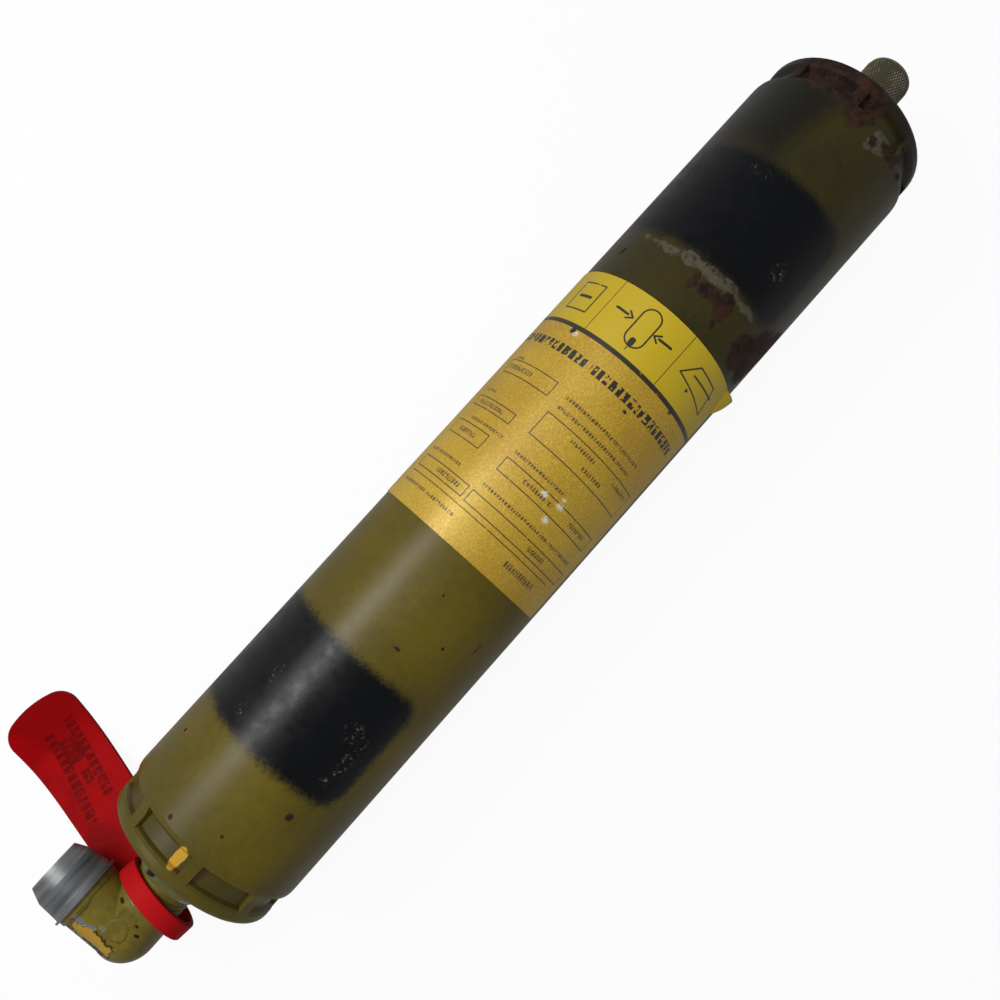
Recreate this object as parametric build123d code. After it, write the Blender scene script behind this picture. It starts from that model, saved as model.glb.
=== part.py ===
from build123d import *
import math
import os

# Hydraulic piston accumulator with crimped end caps. Millimetres. The tube lies along X with its
# axis through the origin: gas end towards -X, oil end towards +X, elbow outlet towards -Y, +Z up.

# ---- tube and crimps
tube_od = 60.0
tube_wall = 5.0
tube_length = 309.0
shoulder_setback = 12.7  # where the tube starts to draw in, from each end
neck_setback = 7.4  # where the drawn-in neck reaches its smallest size, from each end
neck_drop = 1.3  # how far the neck lies inside the tube's outside
lip_fillet = 2.0
jaw_count = 8
jaw_gap_deg = 7.5  # unpressed rib left between two jaw prints
jaw_print_depth = 1.7  # below the neck
jaw_print_centre = 7.4  # from each end
jaw_print_floor = 4.4  # width of a print along the tube, at its bottom
jaw_print_slope = 2.3  # how far a print's shoulder side spreads towards its mouth
jaw_print_ease_drop = 0.5  # the print's lip edge is eased from this far below the neck
jaw_print_ease_deg = 30.0  # slope of that easing
oil_jaw_turn_deg = 23.5  # angle of the middle of one print, from straight up towards +Y
gas_jaw_turn_deg = 12.0
crimp_bulge = 2.3  # how far the crimp pushes the bore inwards
crimp_flat = 2.4  # width of the bulge at its crest
crimp_inner_run = 3.0  # slope of the bulge towards the pressure side
crimp_outer_run = 1.0  # slope of the bulge towards the tube's end
crimp_relief = 1.0  # the bore opens out again by this much past the bulge

# ---- common to several pieces
overcut = 1.0  # how far a cutting shape stands past the face that it cuts
edge_break = 0.8  # chamfer on turned edges
thread_depth = 1.0  # from a thread's pitch radius to the passage behind it
hex_chamfer_deg = 30.0  # how far a hexagon's corners are turned off
hex_chamfer_share = 1.1  # chamfer's drop, against the corner's height over the flats

# ---- end caps
cap_length = 24.5  # from the tube's end to the cap's inner face
cap_recess = 2.0  # from the tube's end to the cap's outer face
cap_clearance = 0.05
cap_chamfer = 1.0
seal_section = 2.8  # round section of the cap and piston O-rings, squeezed
seal_groove_clearance = 0.05
backup_ring_width = 1.3
cap_groove_setback = 14.2  # from the tube's end to the groove's outer wall
cap_dish_radius = 18.0
cap_dish_depth = 12.0
port_boss_height = 3.0  # stands out of the oil cap's outer face
port_boss_radius = 15.0
port_run_out = 1.0  # thread run-out past the stem's tip
port_seat_run = 0.6  # slope from the thread up to the O-ring's seat
cap_dish_knee = 0.5  # share of the dish's depth at which its floor starts to narrow
cap_dish_floor = 0.6  # share of the dish's radius that its floor keeps

# ---- piston
piston_length = 30.0
piston_clearance = 0.05
piston_rest_gap = 0.2
piston_web = 8.0
piston_skirt = 5.2
piston_dish_chamfer = 3.0
piston_relief_radius = 11.9  # shallow relief in the oil face
piston_relief_depth = 1.5
bearing_width = 4.0
bearing_depth = 1.5
bearing_setback = 3.0
bearing_split = 1.2  # gap cut through each bearing ring
bearing_split_deg = 30.0  # the gap runs slantwise

# ---- elbow fitting
thread_radius = 9.02  # pitch radius of the stem's and outlet's thread
thread_clearance = 0.05
stem_reach = 12.0  # stem tip, below the oil cap's outer face
stem_relief_radius = 8.0  # plain neck under the O-ring
stem_relief_run = 0.4  # how far the neck runs past the O-ring's seat
fitting_bore = 10.0
washer_thickness = 1.2
washer_radius = 10.9
port_ring_section = 2.0
locknut_flats = 22.2
locknut_height = 7.1
stem_exposed = 7.9  # bare thread between the locknut and the elbow
elbow_leg_radius = 9.6
elbow_swell = 0.3  # how far the run leg and the corner stand proud of the outlet leg
elbow_corner_reach = 1.6  # from the run leg's side to the outlet's axis, beyond the leg's radius
elbow_shoulder_fillet = 1.0
elbow_flat_offset = 1.0  # the flats' middle, past the outlet's axis
elbow_flat_depth = 1.0  # forged flats above and below the elbow
outlet_leg_reach = 15.6  # elbow axis to the outlet's shoulder
outlet_thread_length = 6.2
outlet_nose_length = 5.0
outlet_nose_radius = 7.0
outlet_nose_root_radius = 8.5
outlet_flange_radius = 10.0
outlet_flange_width = 1.6

# ---- dust cap on the outlet
dust_cap_wall = 0.6
dust_cap_clearance = 0.1
dust_cap_seat_gap = 0.1  # from the outlet's shoulder to the brim
dust_cap_length = 12.6
dust_cap_taper = 0.45
dust_cap_nose_radius = 7.9
dust_cap_nose_length = 4.6
dust_cap_brim_radius = 11.0
dust_cap_brim_thickness = 0.7

# ---- gas valve
valve_thread_radius = 7.0
valve_thread_length = 11.0
valve_relief_radius = 6.1  # plain neck under the O-ring
valve_hex_flats = 19.0
valve_hex_height = 6.0
valve_seal_section = 1.6
valve_stem_radius = 4.2
valve_stem_length = 17.6
valve_bore_radius = 2.65
gas_passage_radius = 1.2
core_clearance = 0.05
core_length = 15.0
core_setback = 0.5  # from the stem's end to the core's face
core_wall = 0.6
core_seat_thickness = 1.2
core_pin_radius = 0.8
core_pin_collar_radius = 1.3
core_pin_collar_length = 1.2
core_pin_travel = 1.2
core_pin_proud = 0.4
core_collar_gap = 0.1  # from the pin's collar to the seat that stops it
spring_wire_radius = 0.18
spring_turns = 5
spring_seat_gap = 0.02  # from the spring's end to its seat
spring_side_gap = 0.06  # from the spring's coils to the pin's collar
valve_cap_radius = 7.85
valve_cap_length = 21.3
valve_cap_gap = 0.3  # between the valve's hexagon and the cap
valve_cap_clearance = 0.06
valve_cap_edge = 1.5
valve_cap_neck_length = 2.4
valve_cap_neck_drop = 0.7
gasket_thickness = 1.0
gasket_gap = 0.8  # from the valve stem's end to the gasket, clear of the pin's tip
gasket_bore_step = 0.4  # the gasket's hole, inside the stem's bore
gasket_side_gap = 0.1

# ---- identification tag
tag_ring_bore = 23.4
tag_ring_wall = 1.8
tag_ring_width = 5.6
tag_ring_lean_deg = 12.5  # top of the ring leans towards the tube
tag_ring_yaw_deg = 8.0
tag_ring_shift_x = -0.1  # ring's middle, from the elbow's shoulder
tag_ring_shift_y = 1.1  # the ring hangs a little off the stem's axis
tag_ring_shift_z = -0.9
tag_ring_fillet = 0.5
tag_strap_width = 26.0
tag_strap_thickness = 1.5
tag_strap_reach = 69.5  # strap end, from the tube's axis
tag_strap_drift = 9.5  # how far the strap end has swung towards the gas end
tag_touchdown = 0.85  # share of the strap's reach at which it stops falling
tag_floor_clearance = 0.7  # the strap's end hangs this far above the floor
tag_flat_trim = 0.1  # shaved off the underside of the strap's end, so that it is flat
tag_neck_width = 11.0
tag_neck_length = 7.0
tag_neck_shift = 1.5  # the neck lies off the ring's middle, towards the tube
tag_root_width = 20.5  # strap's width where the neck has opened out
tag_root_length = 15.0  # from the ring to that width
tag_end_crown = 3.0  # how far the strap's end bows out
tag_corner_radius = 7.0
tag_neck_fillet = 4.0
tag_band_share = 1.3  # the untrimmed band, against the strap's width
tag_band_steps = 8

# ---- data label
label_start = -58.0
label_length = 92.5
label_angle_deg = 166.0
label_turn_deg = -16.5  # the label's middle, from straight up towards +Y
label_thickness = 0.12
label_gap = 0.1  # adhesive under the film

# ---- worked out from the sizes above
tube_radius = tube_od / 2
bore_radius = tube_radius - tube_wall
half_tube = tube_length / 2
neck_radius = tube_radius - neck_drop
cap_radius = bore_radius - cap_clearance
crimp_bore = bore_radius - crimp_bulge
cap_face = half_tube - cap_recess
cap_inner = half_tube - cap_length
groove_depth = seal_section + seal_groove_clearance
groove_radius = bore_radius - groove_depth
groove_width = seal_section + backup_ring_width + 3 * seal_groove_clearance
port_face = cap_face + port_boss_height
stem_hole = thread_radius + thread_clearance
washer_face = port_face + washer_thickness
locknut_face = washer_face + locknut_height
elbow_shoulder = locknut_face + stem_exposed
outlet_x = elbow_shoulder + elbow_leg_radius + elbow_corner_reach
stem_tip = cap_face - stem_reach
valve_seat = half_tube - cap_recess
hex_face = valve_seat + valve_hex_height
stem_end = hex_face + valve_stem_length
cap_start = hex_face + valve_cap_gap
cap_end = cap_start + valve_cap_length
core_outer = stem_end - core_setback
core_inner = core_outer - core_length
floor_z = -tube_radius


def turned(points):
    """A solid turned about X from a closed outline of (x, radius) points."""
    return revolve(make_face(Polyline(*points, close=True)), Axis.X)


def ring(x_from, x_to, inner, outer):
    """A plain ring round X."""
    return turned([(x_from, inner), (x_to, inner), (x_to, outer), (x_from, outer)])


def round_ring(x, section_radius, mean_radius):
    """A ring of round section round X."""
    section = Plane.XY * Pos(x, mean_radius) * Circle(section_radius)
    return revolve(section, Axis.X)


def hexagon_bar(x_from, x_to, flats):
    """A hexagonal bar along X with its corners turned off at both ends."""
    corner = flats / math.sqrt(3)
    bar = Plane.YZ.offset(x_from) * RegularPolygon(corner, 6)
    bar = extrude(bar, x_to - x_from)
    drop = (corner - flats / 2) * hex_chamfer_share
    run = drop * math.tan(math.radians(hex_chamfer_deg))
    envelope = turned([
        (x_from, 0),
        (x_from, corner - drop),
        (x_from + run, corner),
        (x_to - run, corner),
        (x_to, corner - drop),
        (x_to, 0),
    ])
    return bar & envelope


def mirror_ends(part):
    """The same piece at the other end of the tube."""
    return mirror(part, Plane.YZ)


# ---- tube


def jaw_prints(first_angle_deg):
    """The pockets that the crimping jaws press round the +X end of the tube."""
    centre = half_tube - jaw_print_centre
    floor = jaw_print_floor / 2
    bottom = neck_radius - jaw_print_depth
    mouth = tube_radius + overcut
    ease = neck_radius - jaw_print_ease_drop
    lip_side = centre + floor + jaw_print_slope * (ease - bottom) / (mouth - bottom)
    ease_run = (mouth - ease) / math.tan(math.radians(jaw_print_ease_deg))
    outline = Polyline(
        (centre - floor, bottom),
        (centre + floor, bottom),
        (lip_side, ease),
        (lip_side + ease_run, mouth),
        (centre - floor - jaw_print_slope, mouth),
        close=True,
    )
    sweep_deg = 360 / jaw_count - jaw_gap_deg
    pocket = revolve(make_face(outline), Axis.X, sweep_deg)
    prints = []
    for index in range(jaw_count):
        # the outline starts at +Y, which is 90 degrees on from straight up
        middle = 90 - first_angle_deg - index * 360 / jaw_count
        prints.append(Rot(middle - sweep_deg / 2, 0, 0) * pocket)
    return prints


def tube_outline():
    """Half section of the tube at the +X end, bore included, from the middle outwards."""
    shoulder = half_tube - shoulder_setback
    neck = half_tube - neck_setback
    bulge = half_tube - jaw_print_centre
    crest = crimp_flat / 2
    outside = [(0, tube_radius), (shoulder, tube_radius)]
    draw = Spline(
        (shoulder, tube_radius),
        (neck, neck_radius),
        tangents=[(1, 0), (1, 0)],
    )
    lip = FilletPolyline(
        (neck, neck_radius),
        (half_tube, neck_radius),
        (half_tube, crimp_bore + crimp_relief),
        radius=lip_fillet,
    )
    inside = Polyline(
        (half_tube, crimp_bore + crimp_relief),
        (bulge + crest + crimp_outer_run, crimp_bore + crimp_relief),
        (bulge + crest, crimp_bore),
        (bulge - crest, crimp_bore),
        (bulge - crest - crimp_inner_run, bore_radius),
        (0, bore_radius),
        (0, tube_radius),
    )
    return make_face([Line(*outside), draw, lip, inside])


def shell_tube():
    half = revolve(tube_outline(), Axis.X)
    oil_half = half - jaw_prints(oil_jaw_turn_deg)
    gas_half = mirror_ends(half - jaw_prints(gas_jaw_turn_deg))
    return oil_half + gas_half


# ---- end caps and their seals


def cap_outline(face):
    """Outline of a plain cap for the +X end. It follows the crimped bore at a small clearance."""
    bulge = half_tube - jaw_print_centre
    crest = crimp_flat / 2 + cap_clearance
    inner = crimp_bore - cap_clearance
    groove_out = half_tube - cap_groove_setback
    groove_in = groove_out - groove_width
    return [
        (cap_inner, 0),
        (cap_inner, cap_radius - cap_chamfer),
        (cap_inner + cap_chamfer, cap_radius),
        (groove_in, cap_radius),
        (groove_in, groove_radius),
        (groove_out, groove_radius),
        (groove_out, cap_radius),
        (bulge - crest - crimp_inner_run, cap_radius),
        (bulge - crest, inner),
        (bulge + crest, inner),
        (bulge + crest + crimp_outer_run, inner + crimp_relief),
        (face, inner + crimp_relief),
        (face, 0),
    ]


def oil_end_cap():
    cap = turned(cap_outline(cap_face))
    boss = ring(cap_face, port_face, 0, port_boss_radius)
    boss = chamfer(boss.edges().filter_by(GeomType.CIRCLE).sort_by(Axis.X)[-1], edge_break)
    seat = stem_relief_radius + port_ring_section + seal_groove_clearance
    passage = stem_hole - thread_depth
    port = turned([
        (cap_inner - overcut, 0),
        (cap_inner - overcut, passage + 2 * cap_chamfer),
        (cap_inner + cap_chamfer, passage),
        (stem_tip - port_run_out, passage),
        (stem_tip - port_run_out, stem_hole),
        (port_face - port_ring_section - port_seat_run, stem_hole),
        (port_face - port_ring_section, seat),
        (port_face + overcut, seat),
        (port_face + overcut, 0),
    ])
    return cap + boss - port


def gas_end_cap():
    cap = turned(cap_outline(cap_face))
    dish = turned([
        (cap_inner - overcut, 0),
        (cap_inner - overcut, cap_dish_radius + cap_chamfer),
        (cap_inner + cap_dish_depth * cap_dish_knee, cap_dish_radius),
        (cap_inner + cap_dish_depth, cap_dish_radius * cap_dish_floor),
        (cap_inner + cap_dish_depth, 0),
    ])
    hole = valve_thread_radius + thread_clearance
    seat = valve_relief_radius + valve_seal_section + seal_groove_clearance
    valve_hole = turned([
        (cap_inner, 0),
        (cap_inner, hole),
        (valve_seat - valve_seal_section - port_seat_run, hole),
        (valve_seat - valve_seal_section, seat),
        (valve_seat + overcut, seat),
        (valve_seat + overcut, 0),
    ])
    return mirror_ends(cap - dish - valve_hole)


def cap_seal():
    """O-ring of the +X cap, on the pressure side of its groove."""
    groove_in = half_tube - cap_groove_setback - groove_width
    middle = groove_in + seal_groove_clearance + seal_section / 2
    return round_ring(middle, seal_section / 2, groove_radius + groove_depth / 2)


def cap_backup():
    """Flat backup ring of the +X cap, on the outer side of its groove."""
    outer_wall = half_tube - cap_groove_setback - seal_groove_clearance
    return ring(
        outer_wall - backup_ring_width,
        outer_wall,
        groove_radius + seal_groove_clearance,
        bore_radius - seal_groove_clearance,
    )


# ---- piston set

piston_oil_face = cap_inner - piston_rest_gap
piston_gas_face = piston_oil_face - piston_length
piston_middle = (piston_oil_face + piston_gas_face) / 2
piston_groove_half = seal_section / 2 + backup_ring_width + 2 * seal_groove_clearance


def bearing_places():
    """Where the two bearing rings start along X."""
    near_gas = piston_gas_face + bearing_setback
    near_oil = piston_oil_face - bearing_setback - bearing_width
    return [near_gas, near_oil]


def piston():
    radius = bore_radius - piston_clearance
    body = ring(piston_gas_face, piston_oil_face, 0, radius)
    rims = body.edges().filter_by(GeomType.CIRCLE)
    body = chamfer(rims, edge_break)
    seal_groove = ring(
        piston_middle - piston_groove_half,
        piston_middle + piston_groove_half,
        groove_radius,
        radius + overcut,
    )
    body -= seal_groove
    for place in bearing_places():
        body -= ring(
            place - seal_groove_clearance,
            place + bearing_width + seal_groove_clearance,
            bore_radius - bearing_depth - seal_groove_clearance,
            radius + overcut,
        )
    dish_radius = bore_radius - piston_skirt
    dish = turned([
        (piston_gas_face - overcut, 0),
        (piston_gas_face - overcut, dish_radius),
        (piston_oil_face - piston_web - piston_dish_chamfer, dish_radius),
        (piston_oil_face - piston_web, dish_radius - piston_dish_chamfer),
        (piston_oil_face - piston_web, 0),
    ])
    relief = ring(piston_oil_face - piston_relief_depth, piston_oil_face + overcut, 0, piston_relief_radius)
    return body - dish - relief


def piston_seal():
    return round_ring(piston_middle, seal_section / 2, groove_radius + groove_depth / 2)


def piston_backup_rings():
    inner = groove_radius + seal_groove_clearance
    outer = bore_radius - seal_groove_clearance
    near = seal_section / 2 + seal_groove_clearance
    rings = []
    for side in (-1, 1):
        start = piston_middle + side * near
        rings.append(ring(start, start + side * backup_ring_width, inner, outer))
    return Compound(children=rings)


def piston_bearing_rings():
    rings = []
    for place in bearing_places():
        band = ring(
            place,
            place + bearing_width,
            bore_radius - bearing_depth,
            bore_radius - seal_groove_clearance / 2,
        )
        split = Pos(place + bearing_width / 2, 0, bore_radius) * Rot(0, 0, bearing_split_deg) * Box(
            bearing_width * 3, bearing_split, 4 * bearing_depth
        )
        rings.append(band - split)
    return Compound(children=rings)


# ---- gas valve, laid out towards +X and mirrored to the gas end


def gas_valve_body():
    thread = ring(valve_seat - valve_thread_length, valve_seat, 0, valve_thread_radius)
    relief = ring(
        valve_seat - valve_seal_section,
        valve_seat,
        valve_relief_radius,
        valve_thread_radius + overcut,
    )
    hexagon = hexagon_bar(valve_seat, hex_face, valve_hex_flats)
    stem = ring(hex_face, stem_end, 0, valve_stem_radius)
    stem = chamfer(stem.edges().filter_by(GeomType.CIRCLE).sort_by(Axis.X)[-1], edge_break / 2)
    passage = ring(valve_seat - valve_thread_length - overcut, core_inner, 0, gas_passage_radius)
    core_bore = ring(core_inner - core_clearance, stem_end + overcut, 0, valve_bore_radius)
    return mirror_ends(thread - relief + hexagon + stem - passage - core_bore)


def gas_valve_o_ring():
    radius = valve_seal_section / 2 - seal_groove_clearance
    mean = valve_relief_radius + seal_groove_clearance + radius
    x = valve_seat - seal_groove_clearance - radius
    return mirror_ends(round_ring(x, radius, mean))


core_radius = valve_bore_radius - core_clearance
core_cavity = core_radius - core_wall
pin_bore = core_pin_radius + core_clearance
pin_collar_face = core_outer - core_seat_thickness - core_collar_gap
pin_collar_back = pin_collar_face - core_pin_collar_length


def valve_core_body():
    outer = ring(core_inner, core_outer, 0, core_radius)
    cavity = ring(
        core_inner + core_seat_thickness,
        core_outer - core_seat_thickness,
        0,
        core_cavity,
    )
    pin_hole = ring(core_inner - overcut, core_outer + overcut, 0, pin_bore)
    return mirror_ends(outer - cavity - pin_hole)


def valve_core_pin():
    tail = core_inner + core_seat_thickness / 2 + core_pin_travel
    rod = ring(tail, stem_end + core_pin_proud, 0, core_pin_radius)
    collar = ring(pin_collar_back, pin_collar_face, 0, core_pin_collar_radius)
    return mirror_ends(rod + collar)


def valve_core_spring():
    """The spring's coils stand between the core's inner seat and the pin's collar."""
    start = core_inner + core_seat_thickness + spring_wire_radius + spring_seat_gap
    end = pin_collar_face - spring_wire_radius
    mean = core_pin_collar_radius + spring_wire_radius + spring_side_gap
    coil = Helix((end - start) / spring_turns, end - start, mean)
    coil = Pos(start, 0, 0) * Rot(0, 90, 0) * coil
    wire = Plane(coil @ 0, z_dir=coil % 0) * Circle(spring_wire_radius)
    return mirror_ends(sweep(wire, coil))


gasket_face = stem_end + gasket_gap
cap_bore_end = gasket_face + gasket_thickness


def gas_valve_cap():
    radius = valve_cap_radius
    neck = radius - valve_cap_neck_drop
    outside = turned([
        (cap_start, 0),
        (cap_start, neck),
        (cap_start + valve_cap_neck_length, neck),
        (cap_start + valve_cap_neck_length + valve_cap_neck_drop, radius),
        (cap_end, radius),
        (cap_end, 0),
    ])
    outside = fillet(outside.edges().filter_by(GeomType.CIRCLE).sort_by(Axis.X)[-1], valve_cap_edge)
    bore = valve_stem_radius + valve_cap_clearance
    hollow = turned([
        (cap_start - overcut, 0),
        (cap_start - overcut, bore + edge_break + overcut),
        (cap_start + edge_break, bore),
        (cap_bore_end, bore),
        (cap_bore_end, 0),
    ])
    return mirror_ends(outside - hollow)


def valve_cap_gasket():
    inner = valve_bore_radius - gasket_bore_step
    outer = valve_stem_radius - gasket_side_gap
    return mirror_ends(ring(gasket_face, cap_bore_end, inner, outer))


# ---- elbow, its locknut and port seal


def elbow_body():
    stem = ring(stem_tip, elbow_shoulder, 0, thread_radius)
    stem = chamfer(stem.edges().filter_by(GeomType.CIRCLE).sort_by(Axis.X)[0], edge_break)
    relief = ring(
        port_face - port_ring_section - stem_relief_run,
        washer_face,
        stem_relief_radius,
        thread_radius + overcut,
    )
    swollen = elbow_leg_radius + elbow_swell
    run_leg = ring(elbow_shoulder, outlet_x, 0, swollen)
    shoulder_edge = run_leg.edges().filter_by(GeomType.CIRCLE).sort_by(Axis.X)[0]
    run_leg = fillet(shoulder_edge, elbow_shoulder_fillet)
    corner = Pos(outlet_x, 0, 0) * Sphere(swollen)
    nose_root = outlet_leg_reach + outlet_thread_length
    nose_tip = nose_root + outlet_nose_length
    outlet = outlet_turned([
        (0, 0),
        (0, elbow_leg_radius),
        (outlet_leg_reach - outlet_flange_width, elbow_leg_radius),
        (outlet_leg_reach - outlet_flange_width, outlet_flange_radius),
        (outlet_leg_reach, outlet_flange_radius),
        (outlet_leg_reach, thread_radius),
        (nose_root, thread_radius),
        (nose_root, outlet_nose_root_radius),
        (nose_tip, outlet_nose_radius),
        (nose_tip, 0),
    ])
    forging = run_leg + corner + outlet
    flat = elbow_leg_radius - elbow_flat_depth
    reach = 2 * elbow_leg_radius
    block = Box(reach, outlet_leg_reach - outlet_flange_width, reach)
    for side in (-1, 1):
        forging -= Pos(outlet_x + elbow_flat_offset, -reach / 3, side * (flat + reach / 2)) * block
    bore = fitting_bore / 2
    stem_bore = ring(stem_tip - overcut, outlet_x, 0, bore)
    mouth = nose_tip + overcut
    outlet_bore = outlet_turned([(0, 0), (0, bore), (mouth, bore), (mouth, 0)])
    turn_bore = Pos(outlet_x, 0, 0) * Sphere(bore)
    return stem + forging - relief - stem_bore - outlet_bore - turn_bore


def outlet_turned(points):
    """A solid turned about the outlet's axis from (distance from the elbow axis, radius)."""
    outline = [(outlet_x + radius, -reach) for reach, radius in points]
    axis = Axis((outlet_x, 0, 0), (0, 1, 0))
    return revolve(make_face(Polyline(*outline, close=True)), axis)


def elbow_locknut():
    nut = hexagon_bar(washer_face, locknut_face, locknut_flats)
    return nut - ring(washer_face - overcut, locknut_face + overcut, 0, stem_hole)


def elbow_backup_washer():
    return ring(port_face, washer_face, stem_hole, washer_radius)


def port_o_ring():
    radius = port_ring_section / 2 - seal_groove_clearance
    mean = stem_relief_radius + seal_groove_clearance + radius
    return round_ring(port_face - seal_groove_clearance - radius, radius, mean)


def outlet_dust_cap():
    start = outlet_leg_reach + dust_cap_seat_gap
    end = start + dust_cap_length
    bore = thread_radius + dust_cap_clearance
    wall = dust_cap_wall
    knee = end - dust_cap_nose_length
    mouth = bore + dust_cap_taper
    return outlet_turned([
        (start, mouth),
        (start, dust_cap_brim_radius),
        (start + dust_cap_brim_thickness, dust_cap_brim_radius),
        (start + dust_cap_brim_thickness, mouth + wall),
        (knee, bore + wall),
        (end, dust_cap_nose_radius),
        (end, 0),
        (end - wall, 0),
        (end - wall, dust_cap_nose_radius - wall),
        (knee, bore),
    ])


# ---- identification tag


def tag_frame():
    """The ring's centre, its axis and the way down across it."""
    lean = math.radians(tag_ring_lean_deg)
    yaw = math.radians(tag_ring_yaw_deg)
    axis = Vector(1, -math.tan(yaw), math.tan(lean)).normalized()
    down = Vector(0, 0, -1)
    down = (down - axis * down.dot(axis)).normalized()
    centre = Vector(elbow_shoulder + tag_ring_shift_x, tag_ring_shift_y, tag_ring_shift_z)
    return centre, axis, down


def tag_ring():
    centre, axis, _ = tag_frame()
    inner = tag_ring_bore / 2
    plane = Plane(centre, z_dir=axis)
    section = Circle(inner + tag_ring_wall) - Circle(inner)
    band = extrude(plane * section, tag_ring_width / 2, both=True)
    return fillet(band.edges().filter_by(GeomType.CIRCLE), tag_ring_fillet)


def tag_strap_band():
    """A band that leaves the ring at its lowest point and untwists until it lies on the floor."""
    centre, axis, down = tag_frame()
    middle = tag_strap_thickness / 2
    start = centre + down * (tag_ring_bore / 2 + tag_ring_wall - middle)
    away = axis.cross(down)
    if away.Y > 0:
        away = away * -1
    rest_z = floor_z + tag_floor_clearance - tag_flat_trim + middle
    fall = start.Z - rest_z
    wide = tag_strap_width * tag_band_share
    sections = []
    for step in range(tag_band_steps + 2):
        along = step / tag_band_steps
        share = min(along / tag_touchdown, 1.0)
        drop = share * share * (3 - 2 * share)
        twist = 1 - drop
        y = start.Y - along * (tag_strap_reach + start.Y)
        x = start.X - along * tag_strap_drift
        z = start.Z - drop * fall
        width_dir = Vector(1, axis.Y / axis.X, twist * axis.Z / axis.X).normalized()
        here = Vector(x, y, z)
        forward = Vector(0, -1, 0)
        forward = (forward - width_dir * forward.dot(width_dir)).normalized()
        plane = Plane(here, x_dir=width_dir, z_dir=forward)
        sections.append(plane * Rectangle(wide, tag_strap_thickness))
    return loft(sections)


def tag_outline():
    """Plan of the strap: a neck at the ring, opening out towards a bowed, rounded end."""
    centre, axis, down = tag_frame()
    start = centre + down * (tag_ring_bore / 2)
    lean = math.atan2(tag_strap_drift - tag_neck_shift, tag_strap_reach)
    reach = tag_strap_reach / math.cos(lean)
    half = tag_strap_width / 2
    root = tag_root_width / 2
    neck = tag_neck_width / 2
    side_end = reach - tag_end_crown
    edge = Polyline(
        (side_end, half),
        (tag_root_length, root),
        (tag_neck_length, neck),
        (0, neck),
        (0, -neck),
        (tag_neck_length, -neck),
        (tag_root_length, -root),
        (side_end, -half),
    )
    bow = ThreePointArc((side_end, -half), (reach, 0), (side_end, half))
    plan = make_face([edge, bow])
    corners = plan.vertices().sort_by(Axis.X)
    plan = fillet(corners[-2:], tag_corner_radius)
    corners = plan.vertices().sort_by(Axis.X)
    plan = fillet(corners[2:6], tag_neck_fillet)
    direction = Rot(0, 0, -90 - math.degrees(lean))
    return Pos(start.X - tag_neck_shift, 0, 0) * direction * plan


def identification_tag():
    plan = Pos(0, 0, floor_z + tag_floor_clearance) * tag_outline()
    strap = tag_strap_band() & extrude(plan, tube_radius)
    return tag_ring() + strap


# ---- data label


def data_label():
    inner = tube_radius + label_gap
    outer = inner + label_thickness
    end = label_start + label_length
    outline = [(label_start, inner), (end, inner), (end, outer), (label_start, outer)]
    section = make_face(Polyline(*outline, close=True))
    foil = revolve(section, Axis.X, label_angle_deg)
    return Rot(90 - label_turn_deg - label_angle_deg / 2, 0, 0) * foil


parts = {
    "shell_tube": shell_tube(),
    "gas_end_cap": gas_end_cap(),
    "oil_end_cap": oil_end_cap(),
    "gas_cap_o_ring": mirror_ends(cap_seal()),
    "gas_cap_backup_ring": mirror_ends(cap_backup()),
    "oil_cap_o_ring": cap_seal(),
    "oil_cap_backup_ring": cap_backup(),
    "piston": piston(),
    "piston_seal": piston_seal(),
    "piston_backup_rings": piston_backup_rings(),
    "piston_bearing_rings": piston_bearing_rings(),
    "gas_valve_body": gas_valve_body(),
    "gas_valve_o_ring": gas_valve_o_ring(),
    "valve_core_body": valve_core_body(),
    "valve_core_pin": valve_core_pin(),
    "valve_core_spring": valve_core_spring(),
    "gas_valve_cap": gas_valve_cap(),
    "valve_cap_gasket": valve_cap_gasket(),
    "elbow_body": elbow_body(),
    "elbow_locknut": elbow_locknut(),
    "elbow_backup_washer": elbow_backup_washer(),
    "port_o_ring": port_o_ring(),
    "outlet_dust_cap": outlet_dust_cap(),
    "identification_tag": identification_tag(),
    "data_label": data_label(),
}

os.makedirs("parts", exist_ok=True)
for name, part in parts.items():
    export_step(part, f"parts/{name}.step")
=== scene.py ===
import math

import bmesh
import bpy
from mathutils import Matrix, Vector


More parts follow.
